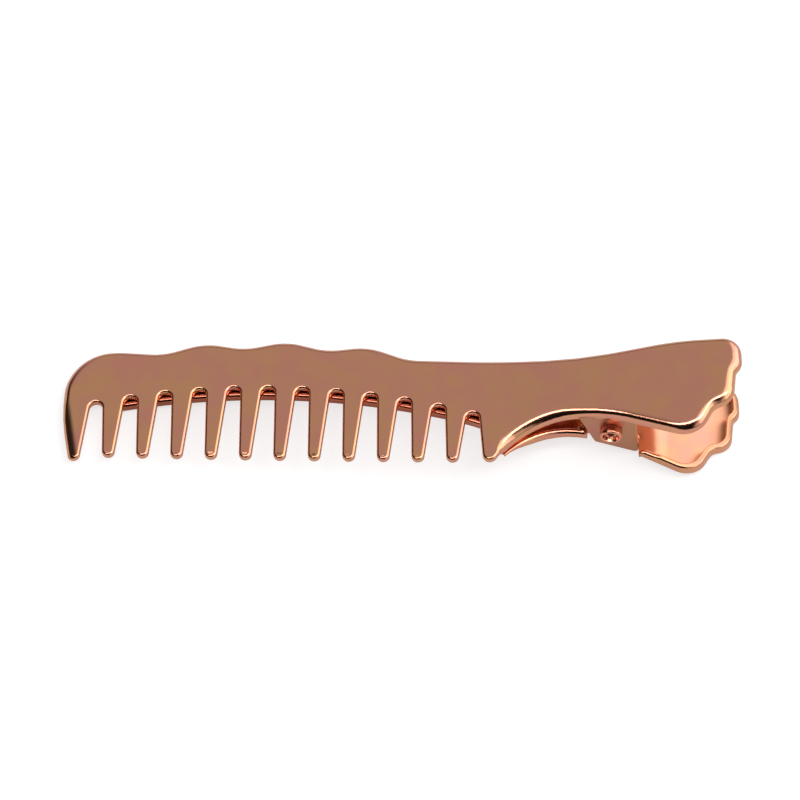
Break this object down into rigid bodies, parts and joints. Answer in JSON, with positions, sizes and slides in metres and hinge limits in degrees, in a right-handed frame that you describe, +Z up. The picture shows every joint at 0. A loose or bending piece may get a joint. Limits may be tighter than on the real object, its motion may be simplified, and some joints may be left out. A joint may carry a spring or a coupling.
{
  "type": "sectioning clip",
  "caption": "Comb-shaped metal hair sectioning clip: a toothed upper plate with a scalloped handle, a riveted lower jaw and lever, and a torsion spring that holds the jaw shut.",
  "frame": {"origin": "centre of the bounding box in plan, at the level of the table that the closed clip lies on", "axes": "+X from the comb's front end towards the handle, +Y from the tooth tips towards the back, +Z up from the table"},
  "size_m": [0.0728, 0.015, 0.0117],
  "materials": {
    "rose_plating": "mirror-bright rose-gold plating on steel sheet",
    "spring_steel": "bright drawn wire"
  },
  "bodies": {
    "upper": {"comb_plate": "rose_plating", "hinge_saddle": "rose_plating", "hinge_rivet": "rose_plating", "torsion_spring": "spring_steel"},
    "lower": {"lower_arm": "rose_plating"}
  },
  "joints": [
    {"name": "jaw_hinge", "type": "hinge", "parent": "upper", "child": "lower", "pos_m": [0.02264, 0.00128, 0.00511], "axis": [0, -1, 0], "range_deg": [0, 26], "stiffness_Nm_per_rad": 0.06, "springref_deg": -45.84, "deforming": ["torsion_spring"]}
  ]
}
